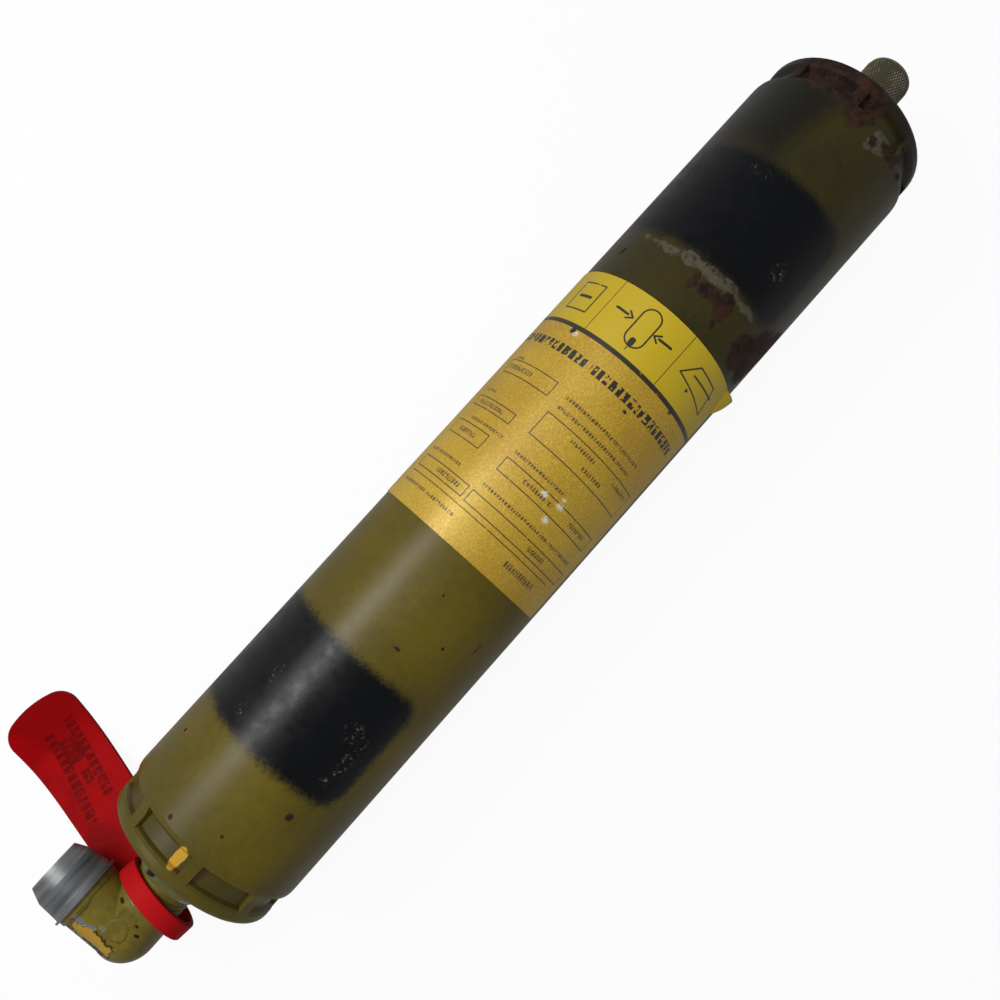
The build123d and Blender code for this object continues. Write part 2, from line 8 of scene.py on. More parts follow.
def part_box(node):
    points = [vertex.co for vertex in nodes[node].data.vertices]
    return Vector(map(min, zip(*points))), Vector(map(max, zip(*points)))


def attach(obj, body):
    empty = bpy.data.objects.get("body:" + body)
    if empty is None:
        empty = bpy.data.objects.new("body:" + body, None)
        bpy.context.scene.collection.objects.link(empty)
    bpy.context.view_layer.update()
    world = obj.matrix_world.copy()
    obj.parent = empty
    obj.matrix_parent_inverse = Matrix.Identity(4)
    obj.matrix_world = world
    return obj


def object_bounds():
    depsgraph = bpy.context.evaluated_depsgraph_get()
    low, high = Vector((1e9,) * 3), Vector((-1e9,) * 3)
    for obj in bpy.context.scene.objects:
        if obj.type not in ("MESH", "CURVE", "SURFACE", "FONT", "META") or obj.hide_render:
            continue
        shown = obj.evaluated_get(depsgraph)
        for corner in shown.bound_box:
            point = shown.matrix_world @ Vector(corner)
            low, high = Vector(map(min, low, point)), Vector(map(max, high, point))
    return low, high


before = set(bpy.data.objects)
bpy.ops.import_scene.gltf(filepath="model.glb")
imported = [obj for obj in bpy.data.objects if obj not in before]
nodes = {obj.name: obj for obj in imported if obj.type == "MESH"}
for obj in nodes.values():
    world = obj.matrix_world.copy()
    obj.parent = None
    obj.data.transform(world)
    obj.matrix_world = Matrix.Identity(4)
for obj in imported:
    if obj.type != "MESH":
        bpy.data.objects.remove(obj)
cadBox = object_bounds()
print("frame loaded with", len(nodes), "nodes")

# the accumulator lies along X: gas end at -X, oil end at +X, elbow outlet towards -Y
mm = 0.001
perMetre = 1000
degree = math.pi / 180
wholeTurn = 2 * math.pi
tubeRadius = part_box("shell_tube")[1].z / mm
arcPerDegree = tubeRadius * degree  # mm of paint for each degree round the tube


def tone(red, green, blue):  # a colour as it shows on a screen, 0 to 255, made linear
    def linear(value):
        part = value / 255
        return part / 12.92 if part <= 0.04045 else ((part + 0.055) / 1.055) ** 2.4
    return (linear(red), linear(green), linear(blue), 1.0)


class Wire:  # one socket of a finish, so that shader sums read as sums
    def __init__(self, finish, socket):
        self.finish = finish
        self.socket = socket

    def sum(self, operation, first, second=None):
        terms = {0: first} if second is None else {0: first, 1: second}
        return self.finish.node("ShaderNodeMath", {"operation": operation}, terms)

    def apply(self, operation, other=None):
        return self.sum(operation, self, other)

    def __add__(self, other):
        return self.sum("ADD", self, other)

    def __sub__(self, other):
        return self.sum("SUBTRACT", self, other)

    def __rsub__(self, other):
        return self.sum("SUBTRACT", other, self)

    def __mul__(self, other):
        return self.sum("MULTIPLY", self, other)

    def __truediv__(self, other):
        return self.sum("DIVIDE", self, other)

    def __rtruediv__(self, other):
        return self.sum("DIVIDE", other, self)

    def __abs__(self):
        return self.sum("ABSOLUTE", self)

    def __and__(self, other):  # inside both masks
        return self.sum("MINIMUM", self, other)

    def __or__(self, other):  # inside either mask
        return self.sum("MAXIMUM", self, other)

    def __invert__(self):  # outside the mask
        return 1 - self

    __radd__ = __add__
    __rmul__ = __mul__
    __rand__ = __and__
    __ror__ = __or__


class Finish:  # the nodes of one material, or of the world
    def __init__(self, name, owners=bpy.data.materials):
        self.owner = owners.new(name)
        self.owner.use_nodes = True
        self.tree = self.owner.node_tree
        self.tree.nodes.clear()

    def node(self, kind, settings, sockets, out=0):
        made = self.tree.nodes.new(kind)
        for name, value in settings.items():
            setattr(made, name, value)
        for name, value in sockets.items():
            if isinstance(value, Wire):
                self.tree.links.new(value.socket, made.inputs[name])
            else:
                made.inputs[name].default_value = value
        return Wire(self, made.outputs[out]) if made.outputs else None

    def place(self):  # where a point lies in the shared frame at rest, in metres
        return self.node("ShaderNodeTexCoord", {}, {}, out="Object")

    def split(self, vector):
        first = self.node("ShaderNodeSeparateXYZ", {}, {0: vector})
        return [Wire(self, socket) for socket in first.socket.node.outputs]

    def stretched(self, vector, scale):
        return self.node("ShaderNodeMapping", {}, {"Vector": vector, "Scale": scale})

    def noise(self, at, scale, detail=2.0, roughness=0.5):
        sockets = {"Vector": at, "Scale": scale, "Detail": detail, "Roughness": roughness}
        return self.node("ShaderNodeTexNoise", {}, sockets)

    def gaps(self, at, unevenness=0.6):  # how far a point on a line is from the nearest of many gaps
        settings = {"voronoi_dimensions": "1D", "feature": "DISTANCE_TO_EDGE"}
        return self.node("ShaderNodeTexVoronoi", settings, {"W": at, "Scale": 1.0, "Randomness": unevenness})

    def flat(self, along, across):  # a point on the rolled-out skin of the tube
        return self.node("ShaderNodeCombineXYZ", {}, {0: along, 1: across})

    def vectors(self, operation, first, second=None, out=0):
        terms = {0: first}
        if second is not None:
            terms["Scale" if operation == "SCALE" else 1] = second
        return self.node("ShaderNodeVectorMath", {"operation": operation}, terms, out)

    def ease(self, value, low, high, full=1.0):  # 0 below low, full above high, smooth between
        settings = {"interpolation_type": "SMOOTHSTEP"}
        sockets = {"Value": value, "From Min": low, "From Max": high, "To Max": full}
        return self.node("ShaderNodeMapRange", settings, sockets)

    def coat(self, under, over, amount):  # one colour laid over another
        return self.node("ShaderNodeMix", {"data_type": "RGBA"}, {0: amount, 6: under, 7: over}, out=2)

    def surface(self, sockets, relief=None):  # relief is in mm
        if relief is not None:
            bump = {"Height": relief, "Distance": mm, "Strength": 1.0}
            sockets["Normal"] = self.node("ShaderNodeBump", {}, bump)
        shader = self.node("ShaderNodeBsdfPrincipled", {}, sockets)
        self.node("ShaderNodeOutputMaterial", {}, {"Surface": shader})
        return self.owner


def swing(noise, size):  # noise as a shift to either side of 0
    return (noise - 0.5) * size


def hypot(first, second):  # the long side over two short ones
    return (first * first + second * second).apply("SQRT")


def anyOf(masks):
    found = masks[0]
    for mask in masks[1:]:
        found = found | mask
    return found


def within(along, across, box, unit=1.0):  # mm inside a box, less than 0 outside; unit is mm per step across
    start, end, low, high = box
    deep = (end - start) / 2 - abs(along - (start + end) / 2)
    wide = (high - low) / 2 * unit - abs(across - (low + high) / 2 * unit)
    return deep & wide


def ovals(look, along, across, places, rim, unit=1.0):  # the soft rim is a share of the oval's size
    masks = []
    for centre, side, halfLength, halfWidth in places:
        far = hypot((along - centre) / halfLength, (across - side * unit) / (halfWidth * unit))
        masks.append(~look.ease(far, 1 - rim, 1 + rim))
    return anyOf(masks)


def paint(nodeName, material):  # gives a CAD piece its finish
    slots = nodes[nodeName].data.materials
    slots.clear()
    slots.append(material)


def addPiece(name, build, material, body, smooth):  # a new piece, which rides on its body
    bmesh.ops.recalc_face_normals(build, faces=build.faces)
    for face in build.faces:
        face.smooth = smooth
    mesh = bpy.data.meshes.new(name)
    build.to_mesh(mesh)
    build.free()
    made = bpy.data.objects.new(name, mesh)
    bpy.context.scene.collection.objects.link(made)
    mesh.materials.append(material)
    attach(made, body)


# studio

studio = {
    "floor": tone(250, 250, 249),
    "floorBounce": tone(118, 118, 116),  # what the floor throws back at the accumulator
    "glow": tone(255, 255, 255),
    "floorGlow": 0.93,
    "glossShare": 0.20,  # how much of the pale studio the gloss picks up
    "floorSize": 4.0,
    "worldSeen": tone(254, 254, 254),
    "worldFill": tone(122, 124, 128),
    "ceiling": tone(62, 66, 72),  # seen only in gloss
    "ceilingDarkens": (0.05, 0.55),  # the sky's slope where it starts and where it ends
    "lamps": {  # metres and watts
        "key_lamp": {
            "at": (0.07, -0.14, 0.68), "aim": (0.03, 0.0, 0.0),
            "size": (0.45, 0.35), "watts": 1.6, "inGloss": False},
        "window_lamp": {
            "at": (0.16, -0.42, 0.46), "aim": (0.05, 0.0, 0.0),
            "size": (0.36, 0.16), "watts": 1.95, "inGloss": True},
    },
}
camera = {
    "at": (0.03817, -0.02212, 0.28309),
    "aim": (0.0131, -0.0022, 0.0),
    "roll": 80.5875,  # degrees
    "lens": 32.565,  # mm
    "sensor": 36.0,
    "nearest": 0.01,  # metres; nothing closer is shown
}


def seenDirectly(look):  # 1 for rays that show the background, 0 for those that light the accumulator
    seen = look.node("ShaderNodeLightPath", {}, {}, out="Is Camera Ray")
    rays = seen.socket.node.outputs
    glossy, through = Wire(look, rays["Is Glossy Ray"]), Wire(look, rays["Is Transmission Ray"])
    return seen | glossy * studio["glossShare"] | through


def makeFloor():
    half = studio["floorSize"] / 2
    height = cadBox[0][2]
    mesh = bpy.data.meshes.new("floor")
    corners = [(-half, -half, height), (half, -half, height), (half, half, height), (-half, half, height)]
    mesh.from_pydata(corners, [], [(0, 1, 2, 3)])
    look = Finish("studio_floor")
    seen = seenDirectly(look)
    colour = look.coat(studio["floorBounce"], studio["floor"], seen)
    matt = look.node("ShaderNodeBsdfDiffuse", {}, {"Color": colour})
    glow = look.node("ShaderNodeEmission", {}, {"Color": studio["glow"], "Strength": 1.0})
    both = look.node("ShaderNodeMixShader", {}, {0: seen * studio["floorGlow"], 1: matt, 2: glow})
    look.node("ShaderNodeOutputMaterial", {}, {"Surface": both})
    mesh.materials.append(look.owner)
    floor = bpy.data.objects.new("floor", mesh)
    bpy.context.scene.collection.objects.link(floor)


def makeWorld():
    look = Finish("studio_world", bpy.data.worlds)
    toward = look.node("ShaderNodeTexCoord", {}, {}, out="Generated")
    ceiling = look.ease(look.split(toward)[2], *studio["ceilingDarkens"])
    glossy = look.node("ShaderNodeLightPath", {}, {}, out="Is Glossy Ray")
    seen = look.coat(studio["worldSeen"], studio["ceiling"], ceiling & glossy)
    colour = look.coat(studio["worldFill"], seen, seenDirectly(look))
    back = look.node("ShaderNodeBackground", {}, {"Color": colour, "Strength": 1.0})
    look.node("ShaderNodeOutputWorld", {}, {"Surface": back})
    bpy.context.scene.world = look.owner


def makeLamp(name, lamp):
    light = bpy.data.lights.new(name, "AREA")
    light.shape = "RECTANGLE"
    light.size, light.size_y = lamp["size"]
    light.energy = lamp["watts"]
    made = bpy.data.objects.new(name, light)
    bpy.context.scene.collection.objects.link(made)
    made.location = lamp["at"]
    made.rotation_euler = (Vector(lamp["aim"]) - Vector(lamp["at"])).to_track_quat("-Z", "Y").to_euler()
    made.visible_glossy = lamp["inGloss"]


def makeCamera():
    data = bpy.data.cameras.new("camera")
    data.lens = camera["lens"]
    data.sensor_width = camera["sensor"]
    data.clip_start = camera["nearest"]
    made = bpy.data.objects.new("camera", data)
    bpy.context.scene.collection.objects.link(made)
    at = Vector(camera["at"])
    turn = (Vector(camera["aim"]) - at).to_track_quat("-Z", "Y").to_matrix()
    turn = turn @ Matrix.Rotation(camera["roll"] * degree, 3, "Z")
    made.matrix_world = Matrix.Translation(at) @ turn.to_4x4()
    bpy.context.scene.camera = made


bpy.context.scene.view_settings.view_transform = "Standard"
makeFloor()
makeWorld()
for name, lamp in studio["lamps"].items():
    makeLamp(name, lamp)
makeCamera()
print("studio ready")

# paint of the tube

shellPaint = {
    "olive": tone(103, 89, 20),
    "oliveShade": tone(86, 75, 18),
    "umber": tone(84, 73, 24),
    "gasOlive": tone(60, 52, 16),  # grimier towards the gas end
    "gasShade": tone(46, 43, 20),
    # near black, laid on the -Y side of the gas end and on the gas end's lip
    "nearBlack": tone(13, 13, 11),
    "black": tone(6, 7, 9),
    "primer": tone(200, 154, 46),
    "bare": tone(86, 82, 68),
    "scuff": tone(120, 122, 118),
    "rust": tone(62, 37, 22),
    "rustDark": tone(25, 16, 11),
    "dirt": tone(30, 27, 16),
    "chip": tone(44, 31, 20),
    "jawPrintShadeAndDirt": tone(62, 55, 25),  # painted shade and dirt in the bottoms of the crimp's jaw prints
    "gloss": 0.33,
    "roughness": 0.38,
    "roughnessSwing": 0.16,
    "bandRoughnessSwing": 0.45,  # the bands shine unevenly
    "wornRoughness": 0.35,  # what rust and chips add
    "bareRoughness": 0.15,
    "grainDepth": 0.012,  # mm of orange peel in the paint
    "chipDepth": 0.12,
    "bareDepth": 0.05,
    "primerDepth": 0.08,
    "pitDepth": 0.10,  # mm of crust in the rust
    "mottleShare": 0.5,  # how much of the patchiness is fine
    "darkShare": 0.85,
    "scuffShare": 0.7,
    "bareShare": 0.85,
    "bandCorner": 7.0,  # mm
    "bandFringe": 2.2,  # mm over which a sprayed band fades out
    "bandWander": 3.0,  # mm that a band's ends wander
    "fringeMottle": 3.0,  # mm of unevenness in the fringe
    "fringeGrain": 3.6,
    "grimeWander": 20.0,
    "darkWander": 14.0,
    "lipWander": 2.0,
    "scuffRim": 0.9,  # softness, as a share of the scuff's size
    "noise": {  # scale, detail, roughness
        "broad": (38.0, 3.0),
        "mottle": (420.0, 3.0, 0.6),
        "grain": (1500.0, 2.0, 0.6),
        "ragged": (190.0, 5.0, 0.62),
        "raggedToo": (210.0, 5.0, 0.62),
        "umber": (22.0, 4.0),
        "scuff": (900.0, 3.0, 0.7),
        "rust": (260.0, 5.0, 0.7),
        "pits": (700.0, 4.0, 0.7),
    },
    "masks": {  # where each starts, where it is full, and its share there
        "patchy": (0.45, 0.95),
        "umber": (0.5, 0.72, 0.6),
        "dirt": (0.60, 0.78, 0.35),
        "scuff": (0.56, 0.66),
        "bare": (0.3, 0.55),
        "rust": (0.36, 0.66),
        "clean": (-62.0, 20.0),  # mm along the tube
        "darkRound": (4.0, 17.0),  # mm round the tube from its top, towards -Y
        "darkAlong": (104.0, 122.0),  # mm towards the gas end
        "lip": (146.5, 149.5, 0.55),  # mm towards the gas end
        "jawPrint": (1.6, 2.8, 0.5),  # mm deep
    },
    "edges": {  # mm of raggedness, softness of the rim
        "rust": (6.0, 0.22),
        "bare": (6.0, 0.2),
        "chips": (2.4, 0.35),
        "primer": (2.0, 0.1),
    },
}
# sprayed bands: from, to in mm along the tube, and the angle where the spray stopped
sprayedBands = [(74.2, 113.2, 40.0), (-113.3, -76.6, 49.0)]
# worn places: mm along the tube, degrees from straight up, half length in mm, half width in degrees
rustPatches = [
    (-69.5, -10.5, 3.6, 3.4), (-70.4, 2.0, 3.0, 7.5), (-70.2, 13.5, 4.6, 6.0), (-64.6, 13.8, 2.6, 1.4),
    (-66.5, 43.0, 6.4, 9.5), (-71.0, 58.0, 10.0, 14.0), (-78.0, 68.0, 6.5, 9.0), (-149.5, -24.0, 9.0, 32.0),
    (-146.0, -3.0, 9.6, 11.0), (-147.5, -46.0, 5.0, 13.0), (-141.0, 25.0, 2.2, 5.0),
    (-142.4, 33.0, 2.6, 3.6), (-141.6, 44.0, 1.2, 3.4), (-147.0, 36.0, 3.0, 3.0), (-139.2, 13.6, 1.4, 3.2),
    (-67.5, -60.8, 1.2, 1.8), (-64.8, -86.0, 1.8, 3.0), (-71.9, -82.8, 2.4, 2.0),
]
barePatches = [
    (-74.2, -48.0, 1.0, 7.0), (-73.6, -34.0, 1.6, 9.0), (-74.4, -19.0, 1.3, 8.0), (-74.5, -6.0, 1.8, 9.0),
    (-74.2, 9.0, 2.4, 8.0), (-74.8, 24.0, 1.3, 9.0), (-140.6, 18.0, 3.4, 7.0), (-137.0, 12.0, 2.0, 2.6),
]
darkChips = [
    (119.6, 22.0, 1.22, 2.3), (134.1, 1.5, 0.58, 0.86), (140.0, -26.0, 0.72, 1.15), (65.8, 3.7, 0.43, 2.3),
    (46.3, 4.0, 0.5, 0.86), (57.9, 23.6, 0.5, 0.86), (51.7, 42.3, 1.73, 0.58), (-125.0, -18.5, 0.43, 0.72),
    (-126.5, 9.5, 0.5, 1.01), (-136.0, -19.0, 0.65, 1.73), (-62.0, 5.0, 0.36, 0.72),
    (124.0, -62.0, 0.58, 1.15), (20.0, 96.0, 0.86, 1.73), (-20.0, 118.0, 0.65, 1.01),
    (88.0, 104.0, 1.01, 1.44), (-96.0, 126.0, 0.72, 2.16), (60.0, -112.0, 0.86, 1.58),
    (-36.0, -131.0, 1.15, 1.15), (112.0, -128.0, 0.65, 1.87), (-118.0, -104.0, 0.94, 1.01),
]
primerPatches = [(146.6, -8.8, 4.2, 3.6)]
paleScuffs = [
    (91.0, 17.0, 2.0, 4.0), (92.6, 24.0, 2.0, 3.4), (97.3, 25.5, 2.8, 3.0), (101.6, 24.8, 2.2, 3.0),
    (106.2, 23.4, 1.2, 2.6), (93.5, -37.7, 2.4, 1.8), (107.0, -38.4, 1.4, 2.0), (-109.0, -22.0, 1.0, 5.0),
    (-89.6, 25.0, 2.4, 4.0), (-78.6, -12.6, 0.6, 1.0),
]


def sprayed(look, along, arc, band):  # a band with rounded corners where the spray stopped
    start, end, turn = band
    corner, soft = shellPaint["bandCorner"], shellPaint["bandFringe"]
    past = abs(along - (start + end) / 2) - (end - start) / 2 + corner
    turned = arc - turn * arcPerDegree + corner
    far = hypot(past.apply("MAXIMUM", 0.0), turned.apply("MAXIMUM", 0.0)) - corner
    return ~look.ease(far, -soft, soft)


def makeShellPaint():
    look = Finish("shell_paint")
    spot = look.place()
    x, y, z = look.split(spot)
    along = x * perMetre
    arc = y.apply("ARCTAN2", z) * tubeRadius
    depth = tubeRadius - hypot(y, z) * perMetre

    def noise(name, at=spot):
        return look.noise(at, *shellPaint["noise"][name])

    def mask(name, value):
        return look.ease(value, *shellPaint["masks"][name])

    def over(under, name, amount):
        return look.coat(under, shellPaint[name], amount)

    broad, mottle, grain, ragged = noise("broad"), noise("mottle"), noise("grain"), noise("ragged")
    raggedToo = noise("raggedToo", look.stretched(spot, (1.0, -1.0, 1.0)))  # mirrored, to differ

    def wornOn(name, places):
        raggedness, rim = shellPaint["edges"][name]
        shifted = along + swing(ragged, raggedness), arc + swing(raggedToo, raggedness)
        return ovals(look, *shifted, places, rim, arcPerDegree)

    # olive paint, grimier towards the gas end
    patchy = mask("patchy", broad + mottle * shellPaint["mottleShare"])
    olive = over(shellPaint["oliveShade"], "olive", patchy)
    olive = over(olive, "umber", mask("umber", noise("umber")))
    grimy = over(shellPaint["gasShade"], "gasOlive", patchy)
    olive = look.coat(grimy, olive, mask("clean", along + swing(broad, shellPaint["grimeWander"])))
    # darker, towards near black, on the -Y side near the gas end
    darkerGasSide = mask("darkRound", swing(broad, shellPaint["darkWander"]) - arc) & mask("darkAlong", -1 * along)
    olive = over(olive, "nearBlack", darkerGasSide * shellPaint["darkShare"])
    olive = over(olive, "dirt", mask("dirt", grain))

    # black bands with a sprayed fringe
    fringe = swing(mottle, shellPaint["fringeMottle"]) + swing(grain, shellPaint["fringeGrain"])
    wandering = along + swing(broad, shellPaint["bandWander"]) + fringe
    bands = anyOf([sprayed(look, wandering, arc + fringe, band) for band in sprayedBands])
    colour = over(olive, "black", bands)
    scuffs = ovals(look, along, arc, paleScuffs, shellPaint["scuffRim"], arcPerDegree)
    scuffs = scuffs & mask("scuff", noise("scuff"))
    colour = over(colour, "scuff", scuffs * shellPaint["scuffShare"])

    # painted shade in the jaw prints, then wear, from the thinnest to the deepest
    # painted shade and dirt: darker the deeper the jaw print goes
    colour = over(colour, "jawPrintShadeAndDirt", mask("jawPrint", depth))
    colour = over(colour, "nearBlack", mask("lip", swing(mottle, shellPaint["lipWander"]) - along))
    bare = wornOn("bare", barePatches) & mask("bare", mottle)
    colour = over(colour, "bare", bare * shellPaint["bareShare"])
    rusty = wornOn("rust", rustPatches)
    rustTone = over(shellPaint["rustDark"], "rust", mask("rust", noise("rust")))
    colour = look.coat(colour, rustTone, rusty)
    chips = wornOn("chips", darkChips)
    colour = over(colour, "chip", chips)
    primed = wornOn("primer", primerPatches)
    colour = over(colour, "primer", primed)

    worn = rusty | chips
    roughness = shellPaint["roughness"] + swing(mottle, shellPaint["roughnessSwing"])
    roughness = roughness + worn * shellPaint["wornRoughness"] + bare * shellPaint["bareRoughness"]
    roughness = roughness + bands * swing(ragged, shellPaint["bandRoughnessSwing"])
    relief = (mottle + grain) * shellPaint["grainDepth"] - worn * shellPaint["chipDepth"]
    relief = relief - bare * shellPaint["bareDepth"] - primed * shellPaint["primerDepth"]
    relief = relief + noise("pits") * rusty * shellPaint["pitDepth"]
    sockets = {"Base Color": colour, "Roughness": roughness, "Specular IOR Level": shellPaint["gloss"]}
    return look.surface(sockets, relief)


paint("shell_tube", makeShellPaint())
print("tube painted")

# data label

labelLook = {
    "foil": tone(218, 180, 54),
    "foilShade": tone(190, 148, 36),
    "sparkle": tone(238, 220, 142),
    "band": tone(204, 174, 10),  # plain yellow end of the label
    "ink": tone(44, 38, 22),
    "faintInk": tone(96, 74, 34),
    "white": tone(232, 228, 214),
    "nick": tone(26, 20, 14),
    "bandFrom": -38.9,  # mm along the tube
    "bandTo": -58.0,
    "ruleTo": -37.4,  # dark rule beside the yellow band
    "line": 0.16,  # half width of a printed frame, mm
    "softness": 0.07,  # of a printed edge, mm
    "fineStep": 1.05,  # mm from one small mark to the next
    "fineRow": 2.9,  # mm from one row to the next, whose gaps lie elsewhere
    "fineShift": 7.3,  # steps by which they are shifted
    "broadStep": 2.3,
    "metallic": 0.22,
    "roughness": 0.43,
    "roughnessSwing": 0.5,
    "gloss": 0.9,
    "broadShare": 0.6,
    "foilDepth": 0.012,  # mm
    "waveDepth": 0.2,
    "nickDepth": 0.05,
    "ragged": 1.5,  # mm of raggedness of scuffs and nicks
    "scuffRim": 0.5,  # softness, as a share of the scuff's size
    "nickRim": 0.3,
    "noise": {  # scale, detail, roughness
        "fine": (1600.0, 3.0, 0.6),
        "broad": (34.0, 3.0),
        "speckle": (1900.0, 2.0, 0.7),
        "fineBreaks": (1300.0, 1.0),
        "broadBreaks": (620.0, 1.0),
        "worn": (260.0, 4.0, 0.65),
    },
    "masks": {  # where each starts, where it is full, and its share there
        "foil": (0.6, 1.0),
        "sparkle": (0.6, 0.72, 0.4),
        "fineGaps": (0.13, 0.2),
        "fineBreaks": (0.36, 0.44),
        "broadGaps": (0.13, 0.17),
        "broadBreaks": (0.4, 0.45),
        "worn": (0.62, 0.74, 0.7),
        "scuffs": (0.4, 0.55),
    },
}
# printed boxes: from, to in mm along the tube, from, to in degrees round it
labelFrames = [
    (-20.9, -15.9, -71.0, -28.0), (-6.0, -2.5, -71.0, -34.0), (3.6, 8.5, -71.0, -38.0),
    (18.4, 22.3, -71.0, -26.0), (-12.5, -4.2, -21.0, 56.0), (5.0, 9.7, -21.0, 55.5),
    (18.5, 22.5, -23.0, 58.0),
]
labelRules = [(24.25, 24.55, -73.0, 50.0), (labelLook["bandFrom"], labelLook["ruleTo"], -99.5, 66.5)]
# rows of small marks: middle, half height in mm, from, to in degrees
fineRows = [
    (-21.9, 0.45, -68.0, -60.0), (-18.4, 0.85, -69.0, -45.0), (-8.7, 0.5, -70.0, -58.0),
    (-4.2, 0.7, -66.0, -42.0), (1.6, 0.5, -60.0, -31.0), (6.1, 0.8, -62.0, -45.0),
    (15.4, 0.5, -71.0, -39.0), (20.3, 0.8, -51.0, -31.0), (27.7, 0.55, -72.0, -22.0),
    (-19.0, 0.55, -19.0, 41.0), (-15.4, 0.55, -19.0, 39.0), (-10.4, 0.6, -1.0, 17.0),
    (-6.8, 0.6, 13.5, 30.0), (-10.2, 0.6, 35.0, 53.0), (2.4, 0.5, -20.0, 17.0), (7.2, 0.7, -5.6, 16.0),
    (7.2, 0.7, 31.0, 48.0), (15.4, 0.5, -21.0, 54.0), (20.5, 0.75, 21.0, 35.0), (28.0, 1.0, 16.5, 42.0),
]
broadRows = [(-30.3, 1.55, -84.0, -22.0), (-30.3, 1.55, -20.0, 55.0)]
# outlines on the yellow band: points as mm along the tube and degrees, then the half width
bandStrokes = [
    ((labelLook["bandTo"], -39.0), (labelLook["bandFrom"], -39.0), 0.12),
    ((labelLook["bandTo"], 12.5), (labelLook["bandFrom"], 12.5), 0.12),
    ((-42.1, -12.6), (-40.7, -12.8), 0.16), ((-49.8, -32.6), (-49.6, -24.5), 0.42),
    ((-49.9, 6.2), (-49.5, -2.0), 0.42), ((-50.9, -24.5), (-49.5, -21.0), 0.3),
    ((-48.3, -24.5), (-49.5, -21.0), 0.3), ((-50.7, -2.0), (-49.3, -5.4), 0.3),
    ((-48.1, -2.0), (-49.3, -5.4), 0.3), ((-44.2, -12.6), (-43.2, -12.6), 0.95),
    ((-47.5, 18.7), (-53.3, 28.0), 0.26), ((-53.3, 28.0), (-53.0, 46.6), 0.26),
    ((-53.0, 46.6), (-44.6, 52.0), 0.26), ((-44.6, 52.0), (-46.2, 36.0), 0.26),
    ((-46.2, 36.0), (-47.5, 18.7), 0.26), ((-50.0, 27.7), (-50.4, 51.0), 0.3),
    ((-53.6, -66.0), (-53.6, -47.5), 0.26), ((-53.6, -47.5), (-43.4, -47.5), 0.26),
    ((-43.4, -47.5), (-43.4, -66.0), 0.26), ((-43.4, -66.0), (-53.6, -66.0), 0.26),
    ((-48.5, -61.5), (-48.5, -52.0), 0.55),
]
capsule = {"from": -52.4, "to": -45.3, "turn": -12.5, "radius": 3.1, "line": 0.26}
# damage to the label: mm along the tube, degrees, half length in mm, half width in degrees
labelNicks = [
    (-36.7, -44.4, 1.1, 2.0), (-45.1, 30.3, 0.6, 1.2), (-27.1, 10.4, 0.5, 1.4), (-37.3, 31.6, 0.7, 1.3),
]
labelScuffs = [
    (5.9, 7.8, 0.9, 2.4), (5.6, 19.3, 0.9, 2.6), (11.3, 17.7, 1.0, 2.2), (3.4, 18.6, 0.5, 1.4),
    (-36.0, -41.4, 0.8, 2.0),
]


def rolledOut(spot):  # a label point as a flat vector in mm
    return (spot[0], spot[1] * arcPerDegree, 0.0)


def strokeGap(look, skin, start, end):  # mm from a straight stroke
    start, end = Vector(rolledOut(start)), Vector(rolledOut(end))
    run = end - start
    offset = look.vectors("SUBTRACT", skin, tuple(start))
    share = look.vectors("DOT_PRODUCT", offset, tuple(run / run.length_squared), out=1)
    nearest = look.vectors("SCALE", tuple(run), share & 1.0 | 0.0)
    return look.vectors("LENGTH", look.vectors("SUBTRACT", offset, nearest), out=1)


